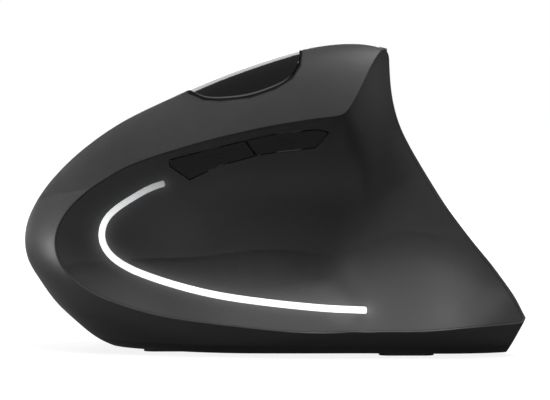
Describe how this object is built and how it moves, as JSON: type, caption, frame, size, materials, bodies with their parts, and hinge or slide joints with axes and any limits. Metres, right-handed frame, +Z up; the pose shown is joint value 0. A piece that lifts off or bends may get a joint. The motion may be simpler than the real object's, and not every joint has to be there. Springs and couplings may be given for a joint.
{
  "type": "vertical computer mouse",
  "caption": "Upright right-handed wireless mouse with a hollowed thumb side, lit strip, thumb buttons, scroll wheel and two main buttons on the finger side.",
  "frame": {"origin": "centre of the footprint on the desk plane, under the middle of the body", "axes": "-X to the nose, +X to the wing at the rear, -Y to the thumb side, +Y to the finger side, +Z up from the desk"},
  "size_m": [0.1204, 0.0635, 0.0737],
  "materials": {
    "soft_shell": "soft-touch matte, fine grain",
    "thumb_skin": "soft-touch matte",
    "gloss_black": "piano gloss",
    "satin_black": "satin",
    "base_black": "matte",
    "inner_black": "matte",
    "light_guide": "milky, lit",
    "lamp_yellow": "clear over yellow",
    "wheel_rubber": "grooved rubber",
    "hub_grey": "satin",
    "steel": "bright",
    "white_plastic": "satin",
    "board_green": "solder mask",
    "switch_black": "satin",
    "switch_button": "satin",
    "chip_black": "matte",
    "clear_lens": "clear",
    "cell_sleeve": "gloss sleeve",
    "contact_metal": "nickel plated",
    "glide": "slick",
    "screw_zinc": "zinc",
    "tact_steel": "stamped"
  },
  "bodies": {
    "casing": {"hood": "soft_shell", "thumb_panel": "thumb_skin", "crest_insert": "gloss_black", "light_strip": "light_guide", "strip_lamps": "lamp_yellow", "finger_board": "board_green", "upper_switch": "switch_black", "lower_switch": "switch_black", "middle_switch": "tact_steel", "speed_switch": "tact_steel", "board_columns": "inner_black", "thumb_board": "board_green", "thumb_board_screws": "screw_zinc", "front_thumb_switch": "tact_steel", "rear_thumb_switch": "tact_steel", "base_plate": "base_black", "battery_one": "cell_sleeve", "battery_two": "cell_sleeve", "spring_contacts": "contact_metal", "plate_contacts": "contact_metal", "main_board": "board_green", "main_board_screws": "screw_zinc", "sensor_lens": "clear_lens", "sensor_chip": "chip_black", "controller_chip": "chip_black", "clock_crystal": "steel", "board_plug": "white_plastic", "power_switch": "tact_steel", "glide_feet": "glide", "case_screws": "screw_zinc"},
    "upper_button": {"upper_button": "soft_shell"},
    "lower_button": {"lower_button": "soft_shell"},
    "scroll_wheel": {"wheel_tyre": "wheel_rubber", "wheel_hub": "hub_grey", "wheel_axle": "steel", "encoder_rotor": "white_plastic"},
    "wheel_carrier": {"wheel_carrier": "inner_black", "encoder_housing": "switch_black"},
    "speed_button": {"speed_button": "gloss_black"},
    "front_thumb_button": {"front_thumb_button": "satin_black"},
    "rear_thumb_button": {"rear_thumb_button": "satin_black"},
    "upper_plunger": {"upper_plunger": "switch_button"},
    "lower_plunger": {"lower_plunger": "switch_button"},
    "middle_plunger": {"middle_plunger": "switch_button"},
    "speed_plunger": {"speed_plunger": "switch_button"},
    "front_thumb_plunger": {"front_thumb_plunger": "switch_button"},
    "rear_thumb_plunger": {"rear_thumb_plunger": "switch_button"},
    "power_slider": {"power_slider": "white_plastic"},
    "battery_door": {"battery_door": "base_black"},
    "receiver": {"receiver_cap": "satin_black", "receiver_plug": "steel"}
  },
  "joints": [
    {"name": "upper_click", "type": "hinge", "parent": "casing", "child": "upper_button", "pos_m": [-0.00428, 0.00989, 0.05827], "axis": [0, -0.5966, 0.8025], "range_deg": [0, 0.5], "stiffness_Nm_per_rad": 2.5, "springref_deg": -0.34},
    {"name": "lower_click", "type": "hinge", "parent": "casing", "child": "lower_button", "pos_m": [-0.00439, 0.02558, 0.02477], "axis": [0, -0.2639, 0.9646], "range_deg": [0, 0.55], "stiffness_Nm_per_rad": 2.5, "springref_deg": -0.34},
    {"name": "upper_plunger_press", "type": "slide", "parent": "casing", "child": "upper_plunger", "axis": [0.3485, -0.8215, -0.4513], "range_m": [0, 0.0004]},
    {"name": "lower_plunger_press", "type": "slide", "parent": "casing", "child": "lower_plunger", "axis": [0.3485, -0.8215, -0.4513], "range_m": [0, 0.0004]},
    {"name": "wheel_press", "type": "slide", "parent": "casing", "child": "wheel_carrier", "axis": [0.3485, -0.8215, -0.4513], "range_m": [0, 0.0004], "stiffness_N_per_m": 1500, "springref_m": -0.0004},
    {"name": "middle_plunger_press", "type": "slide", "parent": "casing", "child": "middle_plunger", "axis": [0.3485, -0.8215, -0.4513], "range_m": [0, 0.0004]},
    {"name": "wheel_turn", "type": "hinge", "parent": "wheel_carrier", "child": "scroll_wheel", "pos_m": [-0.03035, 0.01031, 0.03307], "axis": [-0.1781, -0.5308, 0.8286], "continuous": true},
    {"name": "speed_press", "type": "slide", "parent": "casing", "child": "speed_button", "axis": [0.3485, -0.8215, -0.4513], "range_m": [0, 0.0004], "stiffness_N_per_m": 1200, "springref_m": -0.0004},
    {"name": "speed_plunger_press", "type": "slide", "parent": "casing", "child": "speed_plunger", "axis": [0.3485, -0.8215, -0.4513], "range_m": [0, 0.0004]},
    {"name": "front_thumb_press", "type": "slide", "parent": "casing", "child": "front_thumb_button", "axis": [0, 1, 0], "range_m": [0, 0.0004], "stiffness_N_per_m": 1200, "springref_m": -0.0004},
    {"name": "front_thumb_plunger_press", "type": "slide", "parent": "casing", "child": "front_thumb_plunger", "axis": [0, 1, 0], "range_m": [0, 0.0004]},
    {"name": "rear_thumb_press", "type": "slide", "parent": "casing", "child": "rear_thumb_button", "axis": [0, 1, 0], "range_m": [0, 0.0004], "stiffness_N_per_m": 1200, "springref_m": -0.0004},
    {"name": "rear_thumb_plunger_press", "type": "slide", "parent": "casing", "child": "rear_thumb_plunger", "axis": [0, 1, 0], "range_m": [0, 0.0004]},
    {"name": "power_slide", "type": "slide", "parent": "casing", "child": "power_slider", "axis": [1, 0, 0], "range_m": [0, 0.0024]},
    {"name": "battery_door_lift", "type": "slide", "parent": "casing", "child": "battery_door", "axis": [0, 0, -1], "range_m": [0, 0.012]},
    {"name": "receiver_pull", "type": "slide", "parent": "casing", "child": "receiver", "axis": [0, 0, -1], "range_m": [0, 0.018]}
  ],
  "couplings": [
    {"joint": "upper_plunger_press", "follows": "upper_click", "m_per_rad": 0.03423},
    {"joint": "lower_plunger_press", "follows": "lower_click", "m_per_rad": 0.0272},
    {"joint": "middle_plunger_press", "follows": "wheel_press", "ratio": 1},
    {"joint": "speed_plunger_press", "follows": "speed_press", "ratio": 1},
    {"joint": "front_thumb_plunger_press", "follows": "front_thumb_press", "ratio": 1},
    {"joint": "rear_thumb_plunger_press", "follows": "rear_thumb_press", "ratio": 1}
  ]
}
